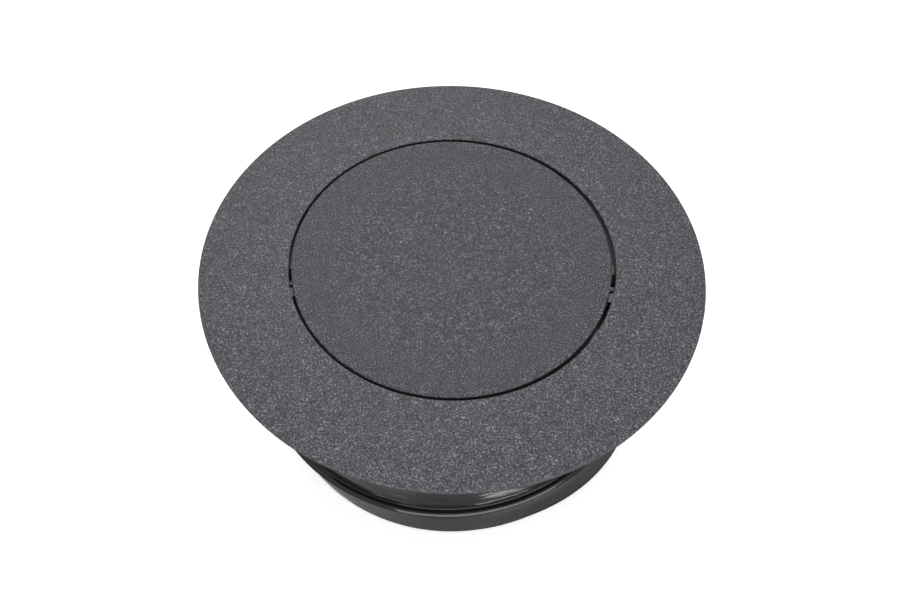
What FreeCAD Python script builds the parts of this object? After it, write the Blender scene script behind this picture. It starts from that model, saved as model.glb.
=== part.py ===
import FreeCAD, Part
import math
import os

from FreeCAD import Vector

# Desk grommet with a press-to-tip lid, in millimetres.
# Origin: centre of the desk-top plane, which is the underside of the flange. +Z is up, -Y is
# the side that is pressed down, +X is along the pivot rod.

# ---- driving dimensions ----

# Top ring: a thin, gently domed flange that covers the edge of the desk hole.
flange_r = 40.0
flange_edge = 0.55          # thickness at the outer edge
ring_top = 2.8              # height of the top surface at the lid opening
ring_bulge = 0.25           # how far the top surface rises over a straight cone
hole_r = 25.70
edge_round = 0.3
lip_bottom = -0.6
skirt_out_r = 28.0
skirt_in_r = 26.4
skirt_bottom = -4.2
bead_r = 28.45              # snap bead that holds the ring in the barrel
bead_top = -2.0
bead_lead = 0.4             # height of the bead's upper slope
bead_flat = 0.5
bead_bottom = -3.6
relief_in_r = 31.6          # shallow groove under the flange, between the barrel and the desk
relief_out_r = 32.4
relief_h = 0.3
notch_gap = 0.2             # play between the skirt's notches and the rod's seats

# Barrel: the glossy threaded liner that goes down through the desk.
collar_r = 31.5             # plain spigot that fits a 63.5 mm (2 1/2 inch) hole
collar_h = 5.0
neck_r = 30.3
neck_bottom = -23.3         # below this the wall steps in, so that a nut starts easily
lead_r = 28.9
lead_top = -24.6
rim_r = 28.3
rim_z = -33.7
bore_r = 28.2
bore_rim_r = 26.8
bore_taper_top = -17.0
groove_r = 28.7             # groove that takes the snap bead
groove_top = -1.9
groove_bottom = -3.3
foot_round = 0.4

# Thread: one coarse right-hand ridge with a shelf on top and a long slope under it.
thread_pitch = 10.3
thread_crest_r = 31.4
thread_front_z = -22.8      # height of the crest at the -Y side, one turn above the start
thread_start = -354.0       # degrees round from -Y, anticlockwise seen from above
thread_end = 480.0
thread_fade = 72.0          # degrees over which the ridge grows and dies away
thread_sunk = 0.15          # how far the ridge's two ends sink into the wall
thread_slope = 3.4          # height of the slope under the crest
thread_step = 7.5           # degrees between the outlines that the ridge is built through

# Lid: a disc that tips on a rod across the opening.
lid_r = 25.15
lid_under = 0.6
lid_crown = 0.25
lid_shift = -0.14           # end play: the lid group rests a little to the left on its rod
pivot_z = -1.5

# Bracket under the lid, with two ears on the rod.
plate_x = 19.0
plate_y = 6.0
plate_t = 0.9
plate_corner = 1.5
ear_t = 2.0
ear_r = 1.9
rib_t = 0.8
rib_bottom = -1.2

# Rod, its seats and the two torsion springs.
rod_r = 1.0
rod_half = 27.5
run_gap = 0.05
seat_x = 25.6               # inner face of the blocks that carry the rod's ends
seat_y = 5.0
seat_top = -0.1
seat_bottom = -6.5
lug_x = 22.5                # inner end of the lug that stops the open lid
lug_y0 = -2.8
lug_y1 = -0.8
lug_bottom = -11.5
wire_r = 0.25
coil_r = 1.4
coil_pitch = 0.6
coil_turns = 7.375
coil_start_x = 20.0
free_end_y = -7.0
fixed_leg = 2.0
fixed_leg_turn = -45.0      # degrees from +Y to where the fixed leg leaves the coil
tang_end_x = 27.0

# Rubber stop pads under the far half of the lid.
pad_angle = 35.0            # degrees either side of +Y
pad_at_r = 23.6
pad_r = 1.5
pad_gap = 0.05
pad_round = 0.3
pad_stem_r = 0.7
knob_top_r = 1.05           # barb under the tab that keeps the pad in
knob_end_r = 0.55
knob_h = 0.8
tab_top = -0.9
tab_t = 1.5
tab_inner_r = 21.9
tab_half = 2.5

# Screws that hold the bracket to the lid.
screw_x = 12.0
screw_y = 4.0
screw_r = 0.8
screw_head_r = 1.7
screw_head_h = 1.1
screw_head_round = 0.45
screw_depth = 1.4
cross_long = 0.95           # half length and half width of the cross recess
cross_short = 0.22
cross_depth = 0.6

out_dir = "parts"


# ---- helpers ----

def revolved(start, steps):
    """Solid of revolution about Z. A step is (r, z) for a line, or (via, end) for an arc."""
    edges = []
    here = start
    for step in steps + [start]:
        curved = isinstance(step[0], tuple)
        end = step[1] if curved else step
        a = Vector(here[0], 0, here[1])
        b = Vector(end[0], 0, end[1])
        if curved:
            via = Vector(step[0][0], 0, step[0][1])
            edges.append(Part.Arc(a, via, b).toShape())
        elif (b - a).Length > 1e-6:
            edges.append(Part.LineSegment(a, b).toShape())
        here = end
    face = Part.Face(Part.Wire(edges))
    return face.revolve(Vector(0, 0, 0), Vector(0, 0, 1), 360)


def corner(cr, cz, radius, degrees):
    """Point on a rounding of the given centre and radius, measured from +r towards +z."""
    turn = math.radians(degrees)
    return (cr + radius * math.cos(turn), cz + radius * math.sin(turn))


def block(x0, x1, y0, y1, z0, z1):
    return Part.makeBox(x1 - x0, y1 - y0, z1 - z0, Vector(x0, y0, z0))


def cylinder_z(x, y, z0, z1, radius):
    return Part.makeCylinder(radius, z1 - z0, Vector(x, y, z0), Vector(0, 0, 1))


def cylinder_x(x0, x1, y, z, radius):
    return Part.makeCylinder(radius, x1 - x0, Vector(x0, y, z), Vector(1, 0, 0))


def rod_between(a, b, radius):
    return Part.makeCylinder(radius, (b - a).Length, a, b - a)


def mirrored_x(shape):
    return shape.mirror(Vector(0, 0, 0), Vector(1, 0, 0))


def moved(shape, x, y, z):
    copy = shape.copy()
    copy.translate(Vector(x, y, z))
    return copy


def save(name, shape):
    shape.exportStep(os.path.join(out_dir, name + ".step"))
    print(name, "solids", len(shape.Solids), "valid", shape.isValid(), "mm3", round(shape.Volume, 1))


# ---- top ring ----

def ring_body():
    mid_r = (hole_r + flange_r) / 2
    mid_z = (ring_top + flange_edge) / 2 + ring_bulge
    inner = (hole_r + edge_round, ring_top - edge_round)
    outer = (flange_r - edge_round, flange_edge - edge_round)
    steps = [
        (hole_r, inner[1]),
        (corner(inner[0], inner[1], edge_round, 135), (inner[0], ring_top)),
        ((mid_r, mid_z), (outer[0], flange_edge)),
        (corner(outer[0], outer[1], edge_round, 45), (flange_r, outer[1])),
        (flange_r, 0),
        (relief_out_r, 0),
        (relief_out_r, relief_h),
        (relief_in_r, relief_h),
        (relief_in_r, 0),
        (skirt_out_r, 0),
        (skirt_out_r, bead_top),
        (bead_r, bead_top - bead_lead),
        (bead_r, bead_top - bead_lead - bead_flat),
        (skirt_out_r, bead_bottom),
        (skirt_out_r, skirt_bottom),
        (skirt_in_r, skirt_bottom),
        (skirt_in_r, lip_bottom - 0.5),
    ]
    return revolved((hole_r, lip_bottom), steps)


def stop_tab(side):
    """A tab that reaches in under the far half of the lid and holds one rubber pad."""
    tab = block(tab_inner_r, skirt_in_r + 0.6, -tab_half, tab_half, tab_top - tab_t, tab_top)
    tab = tab.cut(cylinder_z(pad_at_r, 0, tab_top - tab_t - 1, tab_top + 1, pad_stem_r + run_gap))
    tab.rotate(Vector(0, 0, 0), Vector(0, 0, 1), 90 - side * pad_angle)
    return tab


def top_ring():
    ring = ring_body()
    half = seat_y + notch_gap
    notch = block(hole_r - 2, bead_r + 0.5, -half, half, skirt_bottom - 1, 0)
    ring = ring.cut(notch)
    ring = ring.cut(mirrored_x(notch))
    for side in (-1, 1):
        ring = ring.fuse(stop_tab(side))
    return ring


def stop_pad(side):
    top = lid_under - pad_gap
    under = tab_top - tab_t
    pad = cylinder_z(pad_at_r, 0, tab_top, top, pad_r)
    pad = pad.makeFillet(pad_round, [e for e in pad.Edges if abs(e.BoundBox.ZMin - top) < 1e-6])
    stem = cylinder_z(pad_at_r, 0, under - knob_h / 2, tab_top, pad_stem_r)
    place = Vector(pad_at_r, 0, under - run_gap)
    knob = Part.makeCone(knob_top_r, knob_end_r, knob_h, place, Vector(0, 0, -1))
    pad = pad.fuse(stem).fuse(knob)
    pad.rotate(Vector(0, 0, 0), Vector(0, 0, 1), 90 - side * pad_angle)
    return pad


# ---- barrel ----

def wall_r(z):
    """Outside radius of the plain wall at a height."""
    if z >= neck_bottom:
        return neck_r
    if z >= lead_top:
        return lead_r + (neck_r - lead_r) * (z - lead_top) / (neck_bottom - lead_top)
    return rim_r + (lead_r - rim_r) * (z - rim_z) / (lead_top - rim_z)


def thread_section(turn):
    """Closed outline of the ridge at an angle from the -Y side. It starts and ends inside
    the wall, so the ridge grows out of it and sinks back into it."""
    top = thread_front_z + thread_pitch * turn / 360.0
    grown = min(turn - thread_start, thread_end - turn) / thread_fade
    root = wall_r(top)
    sunk = root - thread_sunk
    crest = sunk + (thread_crest_r - sunk) * min(1.0, grown)
    foot = top - thread_slope
    points = [
        (root - 0.3, top + 1.6),
        (crest - 0.75, top + 0.35),
        (crest, top),
        (crest - 0.12, top - 0.7),
        (wall_r(foot) - 0.45, foot),
        (root - 1.5, top - 1.5),
        (root - 1.5, top + 1.6),
    ]
    away = math.radians(turn - 90)
    ends = [Vector(r * math.cos(away), r * math.sin(away), z) for r, z in points]
    edges = [Part.Arc(ends[0], ends[1], ends[2]).toShape()]
    for a, b in ((2, 3), (3, 4), (4, 5), (5, 6), (6, 0)):
        edges.append(Part.LineSegment(ends[a], ends[b]).toShape())
    return Part.Wire(edges)


def thread_ridge():
    """The ridge as a ruled loft through outlines close enough together to look round."""
    count = int(round((thread_end - thread_start) / thread_step))
    step = (thread_end - thread_start) / count
    sections = [thread_section(thread_start + step * i) for i in range(count + 1)]
    return Part.makeLoft(sections, True, True)


def barrel_body():
    foot = (rim_r - foot_round, rim_z + foot_round)
    steps = [
        (collar_r, 0),
        (collar_r, -collar_h),
        (neck_r, -collar_h - 1.2),
        (neck_r, neck_bottom),
        (lead_r, lead_top),
        (rim_r, foot[1]),
        (corner(foot[0], foot[1], foot_round, -45), (foot[0], rim_z)),
        (bore_rim_r, rim_z),
        (bore_r, bore_taper_top),
        (bore_r, groove_bottom - 0.4),
        (groove_r, groove_bottom),
        (groove_r, groove_top),
        (bore_r, groove_top),
    ]
    return revolved((bore_r, 0), steps)


def rod_seat():
    """The block on the barrel wall that carries one end of the rod, and the lug under it
    that the tipped lid stops against."""
    seat = block(seat_x, bore_r + 0.4, -seat_y, seat_y, seat_bottom, seat_top)
    lug = block(lug_x, bore_r + 0.2, lug_y0, lug_y1, lug_bottom, seat_bottom)
    slot_r = rod_r + run_gap
    slot_end = rod_half + 0.1
    slot = cylinder_x(seat_x - 1, slot_end, 0, pivot_z, slot_r)
    slot = slot.fuse(block(seat_x - 1, slot_end, -slot_r, slot_r, pivot_z, 1))
    y, z = tang_place()
    tang_hole = cylinder_x(seat_x - 1, tang_end_x + 0.1, y, z, wire_r + run_gap)
    return seat.cut(slot).cut(tang_hole).fuse(lug)


def barrel():
    body = barrel_body()
    ridge = thread_ridge()
    below = block(-50, 50, -50, 50, rim_z - 20, rim_z)
    seat = rod_seat()
    body = body.fuse(seat).fuse(mirrored_x(seat))
    return body.fuse(ridge.cut(below))


# ---- lid group, which tips ----

def screw_places():
    return [(x, y) for x in (-screw_x, screw_x) for y in (-screw_y, screw_y)]


def lid_disc():
    """A round plate with a barely crowned top, level with the ring at its edge."""
    dome_r = (lid_r ** 2 + lid_crown ** 2) / (2 * lid_crown)
    top = ring_top + lid_crown
    disc = cylinder_z(0, 0, lid_under, top + 1, lid_r)
    disc = disc.common(Part.makeSphere(dome_r, Vector(0, 0, top - dome_r)))
    rim = [e for e in disc.Edges if e.BoundBox.ZMax > ring_top - 0.1 and e.BoundBox.XLength > lid_r]
    disc = disc.makeFillet(edge_round, rim)
    for x, y in screw_places():
        disc = disc.cut(cylinder_z(x, y, lid_under - 1, lid_under + screw_depth + 0.1, screw_r + run_gap))
    return moved(disc, lid_shift, 0, 0)


def bracket_ear():
    """An ear that hangs on the rod, with a rib each side that stiffens its root."""
    inner = plate_x - ear_t
    inside_plate = lid_under - plate_t / 2
    ear = cylinder_x(inner, plate_x, 0, pivot_z, ear_r)
    ear = ear.fuse(block(inner, plate_x, -ear_r, ear_r, pivot_z, inside_plate))
    for y in (-2 * ear_r, ear_r):
        ear = ear.fuse(block(inner, inner + rib_t, y, y + ear_r, rib_bottom, inside_plate))
    return ear


def lid_bracket():
    plate = block(-plate_x, plate_x, -plate_y, plate_y, lid_under - plate_t, lid_under)
    corners = [e for e in plate.Edges if abs(e.BoundBox.ZLength - plate_t) < 0.01]
    plate = plate.makeFillet(plate_corner, corners)
    ear = bracket_ear()
    plate = plate.fuse(ear).fuse(mirrored_x(ear))
    plate = plate.cut(cylinder_x(-plate_x - 1, plate_x + 1, 0, pivot_z, rod_r + run_gap))
    for x, y in screw_places():
        plate = plate.cut(cylinder_z(x, y, lid_under - plate_t - 1, lid_under + 1, screw_r + 0.2))
    return moved(plate, lid_shift, 0, 0)


def lid_screw():
    """A small pan-head screw: head under the plate, shank up into the lid, cross recess."""
    under = lid_under - plate_t
    low = under - screw_head_h
    head = cylinder_z(0, 0, low, under, screw_head_r)
    head = head.makeFillet(screw_head_round, [e for e in head.Edges if abs(e.BoundBox.ZMax - low) < 1e-6])
    screw = head.fuse(cylinder_z(0, 0, under, lid_under + screw_depth, screw_r))
    for x, y in ((cross_long, cross_short), (cross_short, cross_long)):
        screw = screw.cut(block(-x, x, -y, y, low - 1, low + cross_depth))
    return screw


def lid_screws():
    return Part.makeCompound([moved(lid_screw(), x + lid_shift, y, 0) for x, y in screw_places()])


# ---- rod and springs ----

def pivot_rod():
    rod = cylinder_x(-rod_half, rod_half, 0, pivot_z, rod_r)
    return rod.makeChamfer(0.25, [e for e in rod.Edges if e.BoundBox.XLength < 1e-6])


def tang_place():
    """Where the spring's fixed end goes into the seat: y and z."""
    out = math.radians(fixed_leg_turn)
    y = coil_r * math.cos(out) + fixed_leg * math.sin(out)
    z = coil_r * math.sin(out) - fixed_leg * math.cos(out)
    return (y, pivot_z + z)


def spring_right():
    """Torsion spring: the free leg lies under the lid on the pressed side, the coil goes
    round the rod, and the other end is a tang in the rod's seat."""
    line = Part.makeHelix(coil_pitch, coil_pitch * coil_turns, coil_r)
    # The helix is wound about Z from +X. It is laid along +X so that it starts at the top
    # and turns towards +Y first.
    lie = FreeCAD.Rotation(Vector(0, 0, 1), Vector(0, 1, 0), Vector(1, 0, 0), "ZXY")
    line.Placement = FreeCAD.Placement(Vector(coil_start_x, 0, pivot_z), lie)
    edge = line.Edges[0]
    first = edge.valueAt(edge.FirstParameter)
    last = edge.valueAt(edge.LastParameter)
    along_first = edge.tangentAt(edge.FirstParameter)
    along_last = edge.tangentAt(edge.LastParameter)
    circle = Part.Wire(Part.Circle(first, along_first, wire_r).toShape())
    coil = Part.Wire(line.Edges).makePipeShell([circle], True, True)
    free_end = Vector(first.x, free_end_y, lid_under - wire_r - run_gap)
    free_leg = rod_between(first + along_first * 0.2, free_end, wire_r)
    y, z = tang_place()
    bend = Vector(last.x, y, z)
    anchored_leg = rod_between(last - along_last * 0.2, bend, wire_r)
    tang = rod_between(bend, Vector(tang_end_x, y, z), wire_r)
    knee = Part.makeSphere(wire_r, bend)
    return coil.fuse(free_leg).fuse(anchored_leg).fuse(knee).fuse(tang)


# ---- write the pieces ----

def main():
    os.makedirs(out_dir, exist_ok=True)
    right = spring_right()
    pieces = {
        "top_ring": top_ring(),
        "barrel": barrel(),
        "lid_disc": lid_disc(),
        "lid_bracket": lid_bracket(),
        "lid_screws": lid_screws(),
        "pivot_rod": pivot_rod(),
        "spring_right": right,
        "spring_left": mirrored_x(right),
        "stop_pad_left": stop_pad(-1),
        "stop_pad_right": stop_pad(1),
    }
    for name, shape in pieces.items():
        save(name, shape)


main()
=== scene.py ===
import math

import bmesh
import bpy
from mathutils import Matrix, Vector


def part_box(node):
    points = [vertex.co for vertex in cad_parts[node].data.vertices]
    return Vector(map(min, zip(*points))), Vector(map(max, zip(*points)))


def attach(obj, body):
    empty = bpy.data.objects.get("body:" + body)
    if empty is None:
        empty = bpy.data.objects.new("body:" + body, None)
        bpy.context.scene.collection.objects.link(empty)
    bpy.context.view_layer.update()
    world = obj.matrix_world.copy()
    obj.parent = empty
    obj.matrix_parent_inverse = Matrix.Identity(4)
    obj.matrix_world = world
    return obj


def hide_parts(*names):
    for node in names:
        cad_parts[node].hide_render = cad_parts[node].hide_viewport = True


# Looks of a black desk grommet: a grained flange ring with a flush lid that tips on a sprung
# rod, over a glossy threaded barrel. Lengths are in millimetres until a piece is written in
# metres. -Y is the side of the lid that is pressed down, +X runs along the rod.

MM = 0.001

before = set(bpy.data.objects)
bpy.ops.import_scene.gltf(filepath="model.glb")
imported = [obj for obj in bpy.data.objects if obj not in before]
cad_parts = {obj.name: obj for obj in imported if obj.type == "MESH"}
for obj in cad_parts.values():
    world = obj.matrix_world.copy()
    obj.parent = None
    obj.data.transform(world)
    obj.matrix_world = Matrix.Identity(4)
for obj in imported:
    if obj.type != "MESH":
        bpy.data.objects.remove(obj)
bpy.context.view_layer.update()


# ---- sizes read from the frame ----

def node_box(name):
    """Lowest and highest corner of a CAD node, in millimetres."""
    low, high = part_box(name)
    return low / MM, high / MM


ring_low, ring_high = node_box("top_ring")
lid_low, lid_high = node_box("lid_disc")
barrel_low, barrel_high = node_box("barrel")
rod_low, rod_high = node_box("pivot_rod")

FLANGE_R = ring_high.x
RING_TOP = ring_high.z
SKIRT_BOTTOM = ring_low.z
LID_R = (lid_high.x - lid_low.x) / 2
LID_X = (lid_high.x + lid_low.x) / 2
LID_UNDER = lid_low.z
COLLAR_R = barrel_high.x
RIM_Z = barrel_low.z
ROD_HALF = rod_high.x
ROD_R = (rod_high.z - rod_low.z) / 2
PIVOT_Z = (rod_low.z + rod_high.z) / 2

# Ring, whose box doesn't give its section.
HOLE_R = LID_R + 0.5
FLANGE_EDGE = 0.55
RING_BULGE = 0.25
LIP_BOTTOM = -0.6
SKIRT_OUT_R = 28.0
SKIRT_IN_R = 26.4
BEAD_R = 28.45
BEAD_TOP = -2.0
BEAD_FLAT = (-2.4, -2.9)
BEAD_FOOT = -3.6
RELIEF_IN_R = 31.6
RELIEF_OUT_R = 32.4
RELIEF_H = 0.3
NOTCH_GAP = 0.2

# Roundings: the rims that the grain covers, and plain corners.
EDGE_ROUND = 0.22
CORNER = 0.15

# Barrel wall and thread.
COLLAR_H = 5.0
NECK_R = 30.3
NECK_TOP = -6.2
NECK_BOTTOM = -23.3
LEAD_R = 28.9
LEAD_TOP = -24.6
RIM_R = 28.3
BORE_R = 28.2
GROOVE_R = 28.7
GROOVE_TOP = -1.9
GROOVE_FLOOR_END = -3.3
GROOVE_FOOT = -3.7
BORE_RIM_R = 26.8
BORE_TAPER_TOP = -17.0
FOOT_ROUND = 0.4
PITCH = 10.3
THREAD_H = 1.1
THREAD_FRONT_Z = -22.8
THREAD_SLOPE = 3.4
TURN_STEPS = 192

# Thread ends, in degrees of turn from the crest at the front. START_FLARE is a height instead:
# the millimetres of wall that the ridge's first part turn flares out of.
THREAD_START = -354.0
THREAD_END = 480.0
THREAD_FADE = 72.0
START_TURN = -165.0
START_EASE = 60.0
START_FLARE = 6.5

# Rod seats, spring and stop tabs.
SEAT_X = 26.0
SEAT_Y = 5.0
SEAT_TOP = -0.1
SEAT_BOTTOM = -6.5
LUG_X = 22.5
LUG_Y = (-2.8, -0.8)
LUG_BOTTOM = -11.5
TANG_END = 27.0
SPRING_X = 20.0
WIRE_R = 0.25
COIL_R = 1.4
COIL_PITCH = 0.6
COIL_TURNS = 7.375
COIL_SPLIT = 3.5
LID_TRAVEL = 80.0
TAB_IN_R = 21.9
TAB_HALF_W = 2.5
TAB_ANGLE = 35.0
TAB_TOP = -0.9
TAB_THICK = 1.5
PAD_AT_R = 23.6
PAD_HOLE_R = 0.75


# ---- mesh helpers ----

def arc(cx, cz, radius, start, end, count):
    """Points of a rounding in an outline, angles in degrees from +r towards +z."""
    points = []
    for i in range(count + 1):
        turn = math.radians(start + (end - start) * i / count)
        points.append((cx + radius * math.cos(turn), cz + radius * math.sin(turn)))
    return points


def bulged(start, end, rise, count):
    """Points between two ends, bowed by rise at the middle. The ends are left out."""
    points = []
    for i in range(1, count):
        t = i / count
        bow = rise * 4 * t * (1 - t)
        points.append((start[0] + (end[0] - start[0]) * t, start[1] + (end[1] - start[1]) * t + bow))
    return points


def spun(outline, steps=256, closed=True):
    """A bmesh of a solid of revolution: an outline of (r, z) points turned about Z."""
    bm = bmesh.new()
    verts = [bm.verts.new((r, 0, z)) for r, z in outline]
    pairs = list(zip(verts, verts[1:]))
    if closed:
        pairs.append((verts[-1], verts[0]))
    edges = [bm.edges.new(pair) for pair in pairs]
    bmesh.ops.spin(bm, geom=verts + edges, cent=(0, 0, 0), axis=(0, 0, 1),
                   angle=math.tau, steps=steps, use_merge=True)
    bmesh.ops.remove_doubles(bm, verts=bm.verts, dist=1e-4)
    bmesh.ops.dissolve_degenerate(bm, edges=bm.edges, dist=1e-5)
    bmesh.ops.recalc_face_normals(bm, faces=bm.faces)
    return bm


def block(x0, x1, y0, y1, z0, z1, soft=0.0):
    """A bmesh of a box, its edges rounded by soft."""
    bm = bmesh.new()
    bmesh.ops.create_cube(bm, size=1)
    bmesh.ops.scale(bm, vec=(x1 - x0, y1 - y0, z1 - z0), verts=bm.verts)
    bmesh.ops.translate(bm, vec=((x0 + x1) / 2, (y0 + y1) / 2, (z0 + z1) / 2), verts=bm.verts)
    if soft:
        bmesh.ops.bevel(bm, geom=bm.edges[:], offset=soft, segments=3, profile=0.5,
                        affect="EDGES", material=-1)
    return bm


def pin(start, end, radius, segments=48):
    """A bmesh of a round pin between two points."""
    bm = bmesh.new()
    along = Vector(end) - Vector(start)
    bmesh.ops.create_cone(bm, cap_ends=True, segments=segments, radius1=radius, radius2=radius,
                          depth=along.length)
    bmesh.ops.rotate(bm, cent=(0, 0, 0), matrix=along.to_track_quat("Z", "X").to_matrix(), verts=bm.verts)
    bmesh.ops.translate(bm, vec=(Vector(start) + Vector(end)) / 2, verts=bm.verts)
    return bm


def turned(bm, degrees):
    """The bmesh turned about Z."""
    turn = Matrix.Rotation(math.radians(degrees), 3, "Z")
    bmesh.ops.rotate(bm, cent=(0, 0, 0), matrix=turn, verts=bm.verts)
    return bm


def flipped_x(bm):
    """The bmesh mirrored to the other side of the YZ plane."""
    bmesh.ops.scale(bm, vec=(-1, 1, 1), verts=bm.verts)
    bmesh.ops.reverse_faces(bm, faces=bm.faces)
    return bm


def read_back(mesh):
    """A bmesh of an object's mesh, in millimetres."""
    bm = bmesh.new()
    bm.from_mesh(mesh)
    bmesh.ops.scale(bm, vec=(1 / MM, 1 / MM, 1 / MM), verts=bm.verts)
    return bm


def written(name, bm):
    """Writes a bmesh in millimetres as an object in metres, at the origin."""
    bmesh.ops.scale(bm, vec=(MM, MM, MM), verts=bm.verts)
    mesh = bpy.data.meshes.new(name)
    bm.to_mesh(mesh)
    bm.free()
    piece = bpy.data.objects.new(name, mesh)
    bpy.context.scene.collection.objects.link(piece)
    return piece


def carved(piece, bm, operation="DIFFERENCE"):
    """Cuts a bmesh out of a piece, or unites the two."""
    tool = written("tool", bm)
    carve = piece.modifiers.new("carve", "BOOLEAN")
    carve.operation = operation
    carve.solver = "EXACT"
    carve.object = tool
    done = bpy.data.meshes.new_from_object(piece.evaluated_get(bpy.context.evaluated_depsgraph_get()))
    piece.modifiers.clear()
    piece.data = done
    bpy.data.objects.remove(tool)
    return piece


def shaded(piece, sharp=40.0):
    """Smooth shading, broken at edges that turn by more than sharp degrees."""
    bm = bmesh.new()
    bm.from_mesh(piece.data)
    bmesh.ops.remove_doubles(bm, verts=bm.verts, dist=1e-7)
    bm.normal_update()
    for face in bm.faces:
        face.smooth = True
    for edge in bm.edges:
        edge.smooth = len(edge.link_faces) == 2 and edge.calc_face_angle(0) < math.radians(sharp)
    bm.to_mesh(piece.data)
    bm.free()
    return piece


# ---- housing ----

def stop_tab(side):
    """A tab under the far half of the lid, with the hole that its rubber pad is pulled into."""
    tab = written("tab", block(TAB_IN_R, SKIRT_IN_R + 0.6, -TAB_HALF_W, TAB_HALF_W, TAB_TOP - TAB_THICK,
                               TAB_TOP, soft=0.2))
    tab = carved(tab, pin((PAD_AT_R, 0, -4), (PAD_AT_R, 0, 1), PAD_HOLE_R))
    bm = read_back(tab.data)
    bpy.data.objects.remove(tab)
    return turned(bm, 90 - side * TAB_ANGLE)


def ring_shell():
    """The flange ring: domed top, softened edges, lip round the hole, skirt with snap bead,
    notches over the rod's seats and two stop tabs."""
    foot_round = 0.1
    top_in = (HOLE_R + EDGE_ROUND, RING_TOP)
    top_out = (FLANGE_R - EDGE_ROUND, FLANGE_EDGE)
    outline = [(HOLE_R, LIP_BOTTOM)]
    outline += arc(HOLE_R + EDGE_ROUND, RING_TOP - EDGE_ROUND, EDGE_ROUND, 180, 90, 6)
    outline += bulged(top_in, top_out, RING_BULGE, 24)
    outline += arc(FLANGE_R - EDGE_ROUND, FLANGE_EDGE - EDGE_ROUND, EDGE_ROUND, 90, 0, 6)
    outline += arc(FLANGE_R - foot_round, foot_round, foot_round, 0, -90, 3)
    outline += [(RELIEF_OUT_R, 0), (RELIEF_OUT_R, RELIEF_H), (RELIEF_IN_R, RELIEF_H), (RELIEF_IN_R, 0)]
    outline += [(SKIRT_OUT_R, 0), (SKIRT_OUT_R, BEAD_TOP)]
    outline += [(BEAD_R, z) for z in BEAD_FLAT]
    outline += [(SKIRT_OUT_R, BEAD_FOOT)]
    outline += [(SKIRT_OUT_R, SKIRT_BOTTOM + CORNER), (SKIRT_OUT_R - CORNER, SKIRT_BOTTOM)]
    outline += [(SKIRT_IN_R + CORNER, SKIRT_BOTTOM), (SKIRT_IN_R, SKIRT_BOTTOM + CORNER)]
    outline.append((SKIRT_IN_R, LIP_BOTTOM - 0.5))
    piece = written("ring_shell", spun(outline))
    half = SEAT_Y + NOTCH_GAP
    notch = (HOLE_R - 2, BEAD_R + 0.5, -half, half, SKIRT_BOTTOM - 1, 0)
    carved(piece, block(*notch))
    carved(piece, flipped_x(block(*notch)))
    for side in (-1, 1):
        carved(piece, stop_tab(side), "UNION")
    return shaded(piece)


def wall_r(z):
    """Outside radius of the barrel's plain wall at a height: neck, lead-in step, lower wall."""
    if z >= NECK_BOTTOM:
        return NECK_R
    if z >= LEAD_TOP:
        return LEAD_R + (NECK_R - LEAD_R) * (z - LEAD_TOP) / (NECK_BOTTOM - LEAD_TOP)
    return RIM_R + (LEAD_R - RIM_R) * (z - RIM_Z) / (LEAD_TOP - RIM_Z)


def thread_outline():
    """One pitch of the barrel's skin, upwards from a crest, as (height over the plain wall,
    z): a sharp crest under a rounded shoulder, a small fillet, plain neck, then the undercut
    of the next crest."""
    shoulder = 1.0
    lean = math.radians(25)
    cx = THREAD_H - shoulder * math.cos(lean)
    cz = -shoulder * math.sin(lean)
    points = arc(cx, cz, shoulder, 25, 78, 7)
    points += [(0.1, 0.64), (0.03, 0.68), (0, 0.78), (0, 2.2), (0, 3.4), (0, PITCH - THREAD_SLOPE)]
    undercut = [(0.1, -2.4), (0.25, -1.6), (0.5, -0.8), (0.86, -0.24)]
    points += [(h, PITCH + z) for h, z in undercut]
    points.append((points[0][0], points[0][1] + PITCH))
    return points


def ridge_at(x, y, z):
    """The ridge that a point belongs to: its turn in degrees from the front crest, and how far
    the point is above its crest."""
    here = math.degrees(math.atan2(y, x)) + 90
    above = z - THREAD_FRONT_Z - PITCH * here / 360
    count = math.floor((above + THREAD_SLOPE + 0.2) / PITCH)
    return here + 360 * count, above - PITCH * count


def skin_r(x, y, z):
    """Outside radius of the barrel where the screwed outline has a point. The crest keeps its
    radius where the wall steps in, the ridge grows in and dies away at its ends, and its first
    part turn flares out of the wall above it."""
    over = math.hypot(x, y) - NECK_R
    turn, above = ridge_at(x, y, z)
    if turn < START_TURN and 0 < above < START_FLARE:
        flare = min(1.0, (START_TURN - turn) / START_EASE)
        over = max(over, THREAD_H * (1 - above / START_FLARE) * flare * flare * (3 - 2 * flare))
    fade = max(0.0, min(1.0, (turn - THREAD_START) / THREAD_FADE, (THREAD_END - turn) / THREAD_FADE))
    fade = fade * fade * (3 - 2 * fade)
    stretch = 1 + (NECK_R - wall_r(z)) / THREAD_H
    return wall_r(z) + over * fade * stretch


def grown_ring(bm, edges, r, z):
    """Extrudes an edge loop to a new circle about Z and gives the new loop."""
    made = bmesh.ops.extrude_edge_only(bm, edges=edges)["geom"]
    for v in made:
        if isinstance(v, bmesh.types.BMVert):
            v.co = Vector((v.co.x, v.co.y, 0)).normalized() * r + Vector((0, 0, z))
    return [g for g in made if isinstance(g, bmesh.types.BMEdge)]


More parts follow.
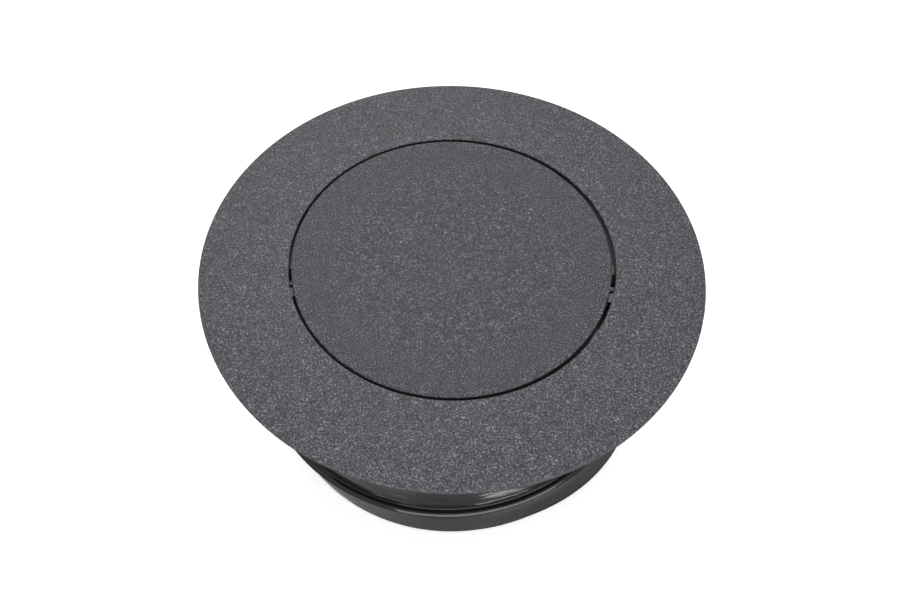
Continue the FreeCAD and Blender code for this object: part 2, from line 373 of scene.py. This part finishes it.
def rod_seat():
    """The block that carries one end of the rod, with its slot and spring hole, and the lug
    under it that the tipped lid stops against."""
    seat = written("seat", block(SEAT_X, BORE_R + 0.4, -SEAT_Y, SEAT_Y, SEAT_BOTTOM, SEAT_TOP, soft=0.2))
    slot_r = ROD_R + 0.05
    inner, outer = SEAT_X - 1, ROD_HALF + 0.1
    carved(seat, pin((inner, 0, PIVOT_Z), (outer, 0, PIVOT_Z), slot_r))
    carved(seat, block(inner, outer, -slot_r, slot_r, PIVOT_Z, 1))
    y, z = tang_place()
    carved(seat, pin((inner, y, z), (TANG_END + 0.1, y, z), WIRE_R + 0.05, 24))
    carved(seat, block(LUG_X, BORE_R + 0.2, *LUG_Y, LUG_BOTTOM, SEAT_BOTTOM + 0.5, soft=0.2), "UNION")
    bm = read_back(seat.data)
    bpy.data.objects.remove(seat)
    return bm


def barrel_shell():
    """The barrel: one pitch of skin screwed round and up, faded at both ends, trimmed to the
    rim and the collar, closed by rings down the inside, with a rod seat on each side."""
    bm = bmesh.new()
    turns = 6
    before = 2.6
    first = THREAD_FRONT_Z - before * PITCH
    lag = math.radians(-90 - before * 360)
    verts = []
    for height, z in thread_outline():
        r = NECK_R + height
        verts.append(bm.verts.new((r * math.cos(lag), r * math.sin(lag), first + z)))
    edges = [bm.edges.new(pair) for pair in zip(verts, verts[1:])]
    bmesh.ops.spin(bm, geom=verts + edges, cent=(0, 0, 0), axis=(0, 0, 1), angle=math.tau * turns,
                   dvec=(0, 0, PITCH / TURN_STEPS), steps=TURN_STEPS * turns, use_merge=False)
    bmesh.ops.remove_doubles(bm, verts=bm.verts, dist=1e-3)
    for v in bm.verts:
        v.co = Vector((v.co.x, v.co.y, 0)).normalized() * skin_r(*v.co) + Vector((0, 0, v.co.z))
    for z, normal in ((RIM_Z + FOOT_ROUND, (0, 0, -1)), (NECK_TOP, (0, 0, 1))):
        bmesh.ops.bisect_plane(bm, geom=bm.verts[:] + bm.edges[:] + bm.faces[:], dist=1e-5,
                               plane_co=(0, 0, z), plane_no=normal, clear_outer=True)
    rims = [e for e in bm.edges if e.is_boundary]
    low = [e for e in rims if e.verts[0].co.z < RIM_Z + 1]
    high = [e for e in rims if e.verts[0].co.z > NECK_TOP - 0.01]
    for r, z in ((COLLAR_R, -COLLAR_H), (COLLAR_R, -CORNER), (COLLAR_R - CORNER, 0), (BORE_R, 0),
                 (BORE_R, GROOVE_TOP), (GROOVE_R, GROOVE_TOP), (GROOVE_R, GROOVE_FLOOR_END),
                 (BORE_R, GROOVE_FOOT), (BORE_R, -12.0), (BORE_R, BORE_TAPER_TOP),
                 (BORE_RIM_R + 0.02, RIM_Z + 0.25), (BORE_RIM_R + 0.3, RIM_Z)):
        high = grown_ring(bm, high, r, z)
    for r, z in arc(RIM_R - FOOT_ROUND, RIM_Z + FOOT_ROUND, FOOT_ROUND, -25, -90, 3):
        low = grown_ring(bm, low, r, z)
    bmesh.ops.bridge_loops(bm, edges=low + high)
    bmesh.ops.remove_doubles(bm, verts=bm.verts, dist=1e-4)
    bmesh.ops.recalc_face_normals(bm, faces=bm.faces)
    piece = written("barrel_shell", bm)
    carved(piece, rod_seat(), "UNION")
    carved(piece, flipped_x(rod_seat()), "UNION")
    return shaded(piece, sharp=50.0)


def refined(node_name, soft):
    """A copy of a CAD node with its triangles joined into whole faces and its edges eased."""
    bm = read_back(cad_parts[node_name].data)
    bmesh.ops.remove_doubles(bm, verts=bm.verts, dist=1e-3)
    bmesh.ops.dissolve_limit(bm, angle_limit=math.radians(1.5), verts=bm.verts, edges=bm.edges)
    hard = [e for e in bm.edges if len(e.link_faces) == 2 and e.calc_face_angle(0) > math.radians(60)]
    bmesh.ops.bevel(bm, geom=hard, offset=soft, segments=2, profile=0.5, affect="EDGES",
                    material=-1, clamp_overlap=True)
    bmesh.ops.triangulate(bm, faces=[f for f in bm.faces if len(f.verts) > 4])
    return shaded(written(node_name + "_shell", bm))


def rod_shell():
    """The blackened rod, turned about its own line, with chamfered ends."""
    chamfer = 0.25
    half = ROD_HALF
    outline = [(0, -half), (ROD_R - chamfer, -half), (ROD_R, -half + chamfer), (ROD_R, half - chamfer),
               (ROD_R - chamfer, half), (0, half)]
    bm = spun(outline, steps=48, closed=False)
    bmesh.ops.rotate(bm, cent=(0, 0, 0), matrix=Matrix.Rotation(math.radians(90), 3, "Y"), verts=bm.verts)
    bmesh.ops.translate(bm, vec=(0, 0, PIVOT_Z), verts=bm.verts)
    return shaded(written("pivot_rod_shell", bm))


def wire(name, points):
    """A round wire along a line of points, with closed ends."""
    curve = bpy.data.curves.new(name, "CURVE")
    curve.dimensions = "3D"
    line = curve.splines.new("POLY")
    line.points.add(len(points) - 1)
    for spot, place in zip(line.points, points):
        spot.co = (*[c * MM for c in place], 1)
    curve.bevel_depth = WIRE_R * MM
    curve.bevel_resolution = 3
    curve.use_fill_caps = True
    holder = bpy.data.objects.new(name, curve)
    mesh = bpy.data.meshes.new_from_object(holder)
    bpy.data.objects.remove(holder)
    mesh.name = name
    piece = bpy.data.objects.new(name, mesh)
    bpy.context.scene.collection.objects.link(piece)
    return shaded(piece, sharp=60.0)


def coil_points(side, first, last):
    """Points of a spring's coil between two counts of turns. It starts on top of the rod and
    turns towards +Y first."""
    points = []
    count = round((last - first) * 28)
    for i in range(count + 1):
        turn = first + (last - first) * i / count
        away = math.radians(90 - 360 * turn)
        x = side * (SPRING_X + COIL_PITCH * turn)
        points.append((x, COIL_R * math.cos(away), PIVOT_Z + COIL_R * math.sin(away)))
    return points


def tang_place():
    """Where a spring's fixed end goes into its seat: y and z."""
    out = math.radians(-45)
    leg = 2.0
    y = COIL_R * math.cos(out) + leg * math.sin(out)
    return y, PIVOT_Z + COIL_R * math.sin(out) - leg * math.cos(out)


def spring_ends(side, word):
    """One torsion spring in two lengths of wire: the turns that stay with the barrel, and the
    turns and leg that go round with the lid and overlap the others by its whole travel."""
    y, z = tang_place()
    coil_end = side * (SPRING_X + COIL_PITCH * COIL_TURNS)
    held = coil_points(side, COIL_SPLIT, COIL_TURNS)
    held += [(coil_end, y + 0.25, z + 0.25), (coil_end + side * 0.1, y + 0.08, z + 0.08),
             (coil_end + side * 0.35, y, z), (side * TANG_END, y, z)]
    leg = [(side * SPRING_X, -7.0, LID_UNDER - WIRE_R - 0.05)]
    carried = leg + coil_points(side, 0, COIL_SPLIT + LID_TRAVEL / 360)
    return wire("spring_" + word + "_coil", held), wire("spring_" + word + "_leg", carried)


# ---- lid ----

def lid_shell():
    """The round lid: a barely crowned top with a softened edge, flat underneath."""
    crown = lid_high.z - RING_TOP
    top_r = LID_R - EDGE_ROUND
    outline = [(0, LID_UNDER), (LID_R - CORNER, LID_UNDER), (LID_R, LID_UNDER + CORNER)]
    outline += arc(top_r, RING_TOP - EDGE_ROUND, EDGE_ROUND, 0, 90, 6)
    for i in range(1, 13):
        r = top_r * (1 - i / 12)
        outline.append((r, RING_TOP + crown * (1 - (r / top_r) ** 2)))
    bm = spun(outline, closed=False)
    bmesh.ops.translate(bm, vec=(LID_X, 0, 0), verts=bm.verts)
    return shaded(written("lid_shell", bm))


# ---- materials ----

def rgb(hex_code):
    """An sRGB hex colour as the linear colour that shaders use."""
    linear = []
    for i in (0, 2, 4):
        c = int(hex_code[i:i + 2], 16) / 255
        linear.append(c / 12.92 if c <= 0.04045 else ((c + 0.055) / 1.055) ** 2.4)
    return (*linear, 1.0)


def add(tree, kind, settings=None, **links):
    """Adds a node. settings sets its attributes and input values, links feeds its inputs: a
    name with _ for a space, or in0, in1 for an input's number."""
    made = tree.nodes.new(kind)
    for key, value in (settings or {}).items():
        if isinstance(key, int) or not hasattr(made, key):
            made.inputs[key].default_value = value
        else:
            setattr(made, key, value)
    for key, source in links.items():
        name = int(key[2:]) if key[:2] == "in" and key[2:].isdigit() else key.replace("_", " ")
        tree.links.new(source, made.inputs[name])
    return made


def blank(name, sockets):
    """A material with one Principled shader, whose plain values are set on its sockets."""
    material = bpy.data.materials.new(name)
    material.use_nodes = True
    tree = material.node_tree
    tree.nodes.clear()
    shader = add(tree, "ShaderNodeBsdfPrincipled", sockets)
    add(tree, "ShaderNodeOutputMaterial", Surface=shader.outputs["BSDF"])
    place = add(tree, "ShaderNodeTexCoord").outputs["Object"]
    return material, tree, shader, place


def coloured(tree, shader, pattern, stops):
    """Feeds a pattern to the shader as a colour, through (position, hex) stops."""
    made = add(tree, "ShaderNodeValToRGB", Fac=pattern)
    while len(made.color_ramp.elements) < len(stops):
        made.color_ramp.elements.new(1.0)
    for element, (position, colour) in zip(made.color_ramp.elements, stops):
        element.position = position
        element.color = rgb(colour)
    tree.links.new(made.outputs["Color"], shader.inputs["Base Color"])


def roughened(tree, shader, pattern, low, high):
    """Feeds a pattern to the shader as a roughness between low and high."""
    rough = add(tree, "ShaderNodeMapRange", {"To Min": low, "To Max": high}, Value=pattern)
    tree.links.new(rough.outputs[0], shader.inputs["Roughness"])


def bumped(tree, shader, height, depth):
    """Feeds a height pattern to the shader as a bump of depth millimetres."""
    bump = add(tree, "ShaderNodeBump", {"Strength": 1.0, "Distance": depth * MM}, Height=height)
    tree.links.new(bump.outputs["Normal"], shader.inputs["Normal"])


def grained_abs(name, pit_shade, skin, peak_highlight, glint):
    """Charcoal ABS moulded against a spark-eroded steel face: a sandy grain of pits and peaks
    a quarter of a millimetre across, matt. Its colour has light painted into it: painted shade in the pits,
    a painted highlight on the peaks and a painted glint on a few of them."""
    material, tree, shader, place = blank(name, {"Roughness": 0.5, "IOR": 1.5})
    sand = add(tree, "ShaderNodeTexNoise", {"Scale": 1 / (0.26 * MM), "Detail": 1.0, "Roughness": 0.6},
               Vector=place)
    patch = add(tree, "ShaderNodeTexNoise", {"Scale": 1 / (1.6 * MM), "Detail": 1.0}, Vector=place)
    mixed = add(tree, "ShaderNodeMath", {"operation": "MULTIPLY_ADD", 1: 0.12}, in0=patch.outputs["Fac"],
                in2=sand.outputs["Fac"])
    # The colour ramp paints light: its darkest tone is painted shade in the pits, and its two lightest tones
    # are a painted highlight on the peaks and a painted glint on a few of them.
    coloured(tree, shader, mixed.outputs[0], [(0.38, pit_shade), (0.56, skin), (0.74, peak_highlight), (0.86, glint)])
    bumped(tree, shader, sand.outputs["Fac"], 0.14)
    return material


def satin_abs():
    """The same charcoal ABS from a stoned, ungrained part of the mould: faint satin sheen."""
    material, tree, shader, place = blank("moulded_satin_abs", {"Base Color": rgb("262628"), "IOR": 1.5})
    flow = add(tree, "ShaderNodeTexNoise", {"Scale": 1 / (3.0 * MM), "Detail": 4.0}, Vector=place)
    roughened(tree, shader, flow.outputs["Fac"], 0.3, 0.5)
    bumped(tree, shader, flow.outputs["Fac"], 0.02)
    return material


def gloss_abs():
    """Black ABS as it leaves a polished mould: deep black, glossy, its reflections a little
    broken by flow marks."""
    plain = {"Base Color": rgb("0d0d0e"), "IOR": 1.5}
    material, tree, shader, place = blank("moulded_gloss_black_abs", plain)
    lie = add(tree, "ShaderNodeMapping", {"Scale": (1, 1, 2.2)}, Vector=place)
    flow = add(tree, "ShaderNodeTexNoise", {"Scale": 1 / (3.5 * MM), "Detail": 4.0}, Vector=lie.outputs[0])
    roughened(tree, shader, flow.outputs["Fac"], 0.05, 0.14)
    bumped(tree, shader, flow.outputs["Fac"], 0.05)
    return material


def nylon():
    """Black glass-filled nylon: satin, with the faint mottle of the fibres at its skin."""
    material, tree, shader, place = blank("glass_filled_nylon", {"IOR": 1.53})
    fibre = add(tree, "ShaderNodeTexNoise", {"Scale": 1 / (0.5 * MM), "Detail": 3.0}, Vector=place)
    coloured(tree, shader, fibre.outputs["Fac"], [(0.3, "1e1e1f"), (0.7, "2e2e30")])
    roughened(tree, shader, fibre.outputs["Fac"], 0.35, 0.55)
    bumped(tree, shader, fibre.outputs["Fac"], 0.02)
    return material


def black_steel():
    """Chemically blackened steel: near black, satin, with a little brown where the oil is thin."""
    material, tree, shader, place = blank("blackened_steel", {"Metallic": 0.6})
    film = add(tree, "ShaderNodeTexNoise", {"Scale": 1 / (1.2 * MM), "Detail": 4.0}, Vector=place)
    coloured(tree, shader, film.outputs["Fac"], [(0.3, "1b1b1c"), (0.7, "2b2927")])
    roughened(tree, shader, film.outputs["Fac"], 0.3, 0.45)
    bumped(tree, shader, film.outputs["Fac"], 0.006)
    return material


def zinc_plate():
    """Bright zinc plate over steel: cool grey, with the fine cloudy spangle of the bath."""
    material, tree, shader, place = blank("bright_zinc_plate", {"Metallic": 1.0})
    cloud = add(tree, "ShaderNodeTexNoise", {"Scale": 1 / (0.7 * MM), "Detail": 3.0}, Vector=place)
    coloured(tree, shader, cloud.outputs["Fac"], [(0.3, "9a9fa6"), (0.7, "c4c7c9")])
    roughened(tree, shader, cloud.outputs["Fac"], 0.22, 0.4)
    bumped(tree, shader, cloud.outputs["Fac"], 0.01)
    return material


def music_wire():
    """Hard-drawn spring wire, lightly oiled: mid grey steel with fine die scratches."""
    material, tree, shader, place = blank("drawn_spring_steel", {"Metallic": 1.0})
    lie = add(tree, "ShaderNodeMapping", {"Scale": (6, 1, 1)}, Vector=place)
    draw = add(tree, "ShaderNodeTexNoise", {"Scale": 1 / (0.3 * MM), "Detail": 3.0}, Vector=lie.outputs[0])
    coloured(tree, shader, draw.outputs["Fac"], [(0.3, "6d6d6e"), (0.7, "9b9b9a")])
    roughened(tree, shader, draw.outputs["Fac"], 0.25, 0.42)
    bumped(tree, shader, draw.outputs["Fac"], 0.006)
    return material


def rubber():
    """Soft black rubber: dead matt, dusted a little lighter in its pores."""
    material, tree, shader, place = blank("moulded_black_rubber", {"Roughness": 0.85, "IOR": 1.52})
    pore = add(tree, "ShaderNodeTexNoise", {"Scale": 1 / (0.25 * MM), "Detail": 2.0}, Vector=place)
    coloured(tree, shader, pore.outputs["Fac"], [(0.35, "191919"), (0.7, "2b2b2a")])
    bumped(tree, shader, pore.outputs["Fac"], 0.02)
    return material


def two_faced(piece, top, under):
    """Gives a moulded piece its grained top and edge, and the plain finish elsewhere."""
    least_tilt = 0.1
    least_height = 0.4
    piece.data.materials.clear()
    piece.data.materials.append(top)
    piece.data.materials.append(under)
    for face in piece.data.polygons:
        grained = face.normal.z > least_tilt and face.center.z > least_height * MM
        face.material_index = 0 if grained else 1


# ---- stage, light and camera ----

def floor():
    """A white table top, lit well past white. It glows by itself outside the barrel, which
    keeps the object's shadow faint. Gloss doesn't mirror it, and it is clear from below, to
    show the underside."""
    bm = bmesh.new()
    bmesh.ops.create_grid(bm, x_segments=1, y_segments=1, size=2500)
    bmesh.ops.translate(bm, vec=(0, 0, RIM_Z - 0.02), verts=bm.verts)
    piece = written("table", bm)
    material, tree, shader, place = blank("white_table", {"Base Color": rgb("f4f4f4"), "Roughness": 0.6,
                                                          "Emission Color": (1, 1, 1, 1)})
    flat = add(tree, "ShaderNodeMapping", {"Scale": (1, 1, 0)}, Vector=place)
    away = add(tree, "ShaderNodeVectorMath", {"operation": "LENGTH"}, in0=flat.outputs[0])
    glow = add(tree, "ShaderNodeMapRange", {"From Min": (RIM_R - 1.0) * MM, "From Max": (RIM_R + 0.2) * MM,
               "To Min": 0.0, "To Max": 0.38}, Value=away.outputs["Value"])
    tree.links.new(glow.outputs[0], shader.inputs["Emission Strength"])
    under = add(tree, "ShaderNodeNewGeometry").outputs["Backfacing"]
    clear = add(tree, "ShaderNodeBsdfTransparent").outputs["BSDF"]
    seen = add(tree, "ShaderNodeMixShader", in0=under, in1=shader.outputs["BSDF"], in2=clear)
    tree.links.new(seen.outputs[0], tree.nodes["Material Output"].inputs["Surface"])
    piece.data.materials.append(material)
    piece.visible_glossy = False


def softbox(name, place, target, size, power, shape="RECTANGLE"):
    """An area light that faces a target: places and size in metres, power in watts."""
    light = bpy.data.lights.new(name, "AREA")
    light.shape = shape
    light.size, light.size_y = size
    light.energy = power
    lamp = bpy.data.objects.new(name, light)
    bpy.context.scene.collection.objects.link(lamp)
    lamp.location = place
    lamp.rotation_euler = (Vector(target) - Vector(place)).to_track_quat("-Z", "Y").to_euler()
    return lamp


def lighting():
    """A pale room, dimmer below the horizon, with three large softboxes, and two small strips
    in front of the barrel that put the glints on its neck, under the flange."""
    world = bpy.data.worlds.new("pale_room")
    world.use_nodes = True
    tree = world.node_tree
    back = tree.nodes["Background"]
    back.inputs["Color"].default_value = rgb("fcfcff")
    way = add(tree, "ShaderNodeSeparateXYZ", in0=add(tree, "ShaderNodeTexCoord").outputs["Generated"])
    front = add(tree, "ShaderNodeMapRange", {"From Min": -0.5, "From Max": -0.2, "To Min": 0.34,
                "To Max": 0.6}, Value=way.outputs["Y"])
    foot = add(tree, "ShaderNodeMapRange", {"From Min": -0.985, "From Max": -0.945, "To Min": 0.12},
               Value=way.outputs["Z"])
    below = add(tree, "ShaderNodeMath", {"operation": "MULTIPLY"}, in0=front.outputs[0], in1=foot.outputs[0])
    sky = add(tree, "ShaderNodeMapRange", {"From Min": -0.12, "From Max": 0.0, "To Max": 0.7},
              Value=way.outputs["Z"], To_Min=below.outputs[0])
    tree.links.new(sky.outputs[0], back.inputs["Strength"])
    bpy.context.scene.world = world
    softbox("overhead", (0.0, 0.25, 0.8), (0, 0, 0), (0.9, 0.7), 0.9)
    softbox("back", (-0.14, 0.55, 0.6), (0, 0, 0), (0.7, 0.4), 2.5)
    softbox("front", (0.12, -0.6, 0.24), (0, 0, 0), (1.0, 0.45), 5.0)
    strip_r = 40.2
    for side, power in ((-1, 0.00024), (1, 0.0007)):
        turn = side * math.radians(21)
        place = Matrix.Rotation(turn, 3, "Z") @ Vector((0, -strip_r * MM, RIM_Z * MM))
        strip = softbox("glint", place, (place.x, place.y, 0), (0.02, 0.004), power, "ELLIPSE")
        strip.rotation_euler.z += turn
    bpy.context.scene.view_settings.view_transform = "Standard"


def camera():
    """64 mm lens, a quarter of a metre away and 53 degrees above the table, aimed a little
    below the flange and rolled by a degree."""
    elevation = math.radians(53.0)
    distance = 6.322 * FLANGE_R
    pivot_height = 0.5
    data = bpy.data.cameras.new("camera")
    data.lens = 64.0
    data.sensor_width = 36.0
    data.clip_start = 0.01
    eye = bpy.data.objects.new("camera", data)
    bpy.context.scene.collection.objects.link(eye)
    place = Vector((0, -distance * math.cos(elevation), distance * math.sin(elevation) + pivot_height))
    aim = Vector((-0.28, 0, -7.45))
    turn = (aim - place).to_track_quat("-Z", "Y").to_matrix()
    roll = Matrix.Rotation(math.radians(0.97), 3, "Z")
    eye.rotation_euler = (turn @ roll).to_euler()
    eye.location = place * MM
    bpy.context.scene.camera = eye


# ---- assembly ----

def finished(piece, body, material, replaced=None):
    """Gives a piece its material, its body and the CAD node that it stands for."""
    if not piece.data.materials:
        piece.data.materials.append(material)
    if replaced:
        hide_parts(replaced)
    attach(piece, body)


def main():
    camera()
    lighting()
    floor()
    # Grain tones, darkest first: painted shade in the pits, the plastic's own colour, a painted highlight on
    # the peaks, a painted glint.
    lid_grain = grained_abs("grained_charcoal_abs", "151516", "2c2b30", "59585f", "909096")
    ring_grain = grained_abs("grained_charcoal_abs_ring", "19191b", "353439", "656469", "98989f")
    satin = satin_abs()
    gloss = gloss_abs()
    zinc = zinc_plate()
    steel = music_wire()
    soft = rubber()
    ring = ring_shell()
    two_faced(ring, ring_grain, satin)
    finished(ring, "housing", ring_grain, "top_ring")
    lid = lid_shell()
    two_faced(lid, lid_grain, satin)
    finished(lid, "lid", lid_grain, "lid_disc")
    finished(barrel_shell(), "housing", gloss, "barrel")
    finished(rod_shell(), "housing", black_steel(), "pivot_rod")
    finished(refined("lid_bracket", 0.12), "lid", nylon(), "lid_bracket")
    finished(refined("lid_screws", 0.05), "lid", zinc, "lid_screws")
    for word, side in (("left", -1), ("right", 1)):
        coil, leg = spring_ends(side, word)
        finished(coil, "housing", steel, "spring_" + word)
        finished(leg, "lid", steel)
        finished(refined("stop_pad_" + word, 0.05), "housing", soft, "stop_pad_" + word)


main()
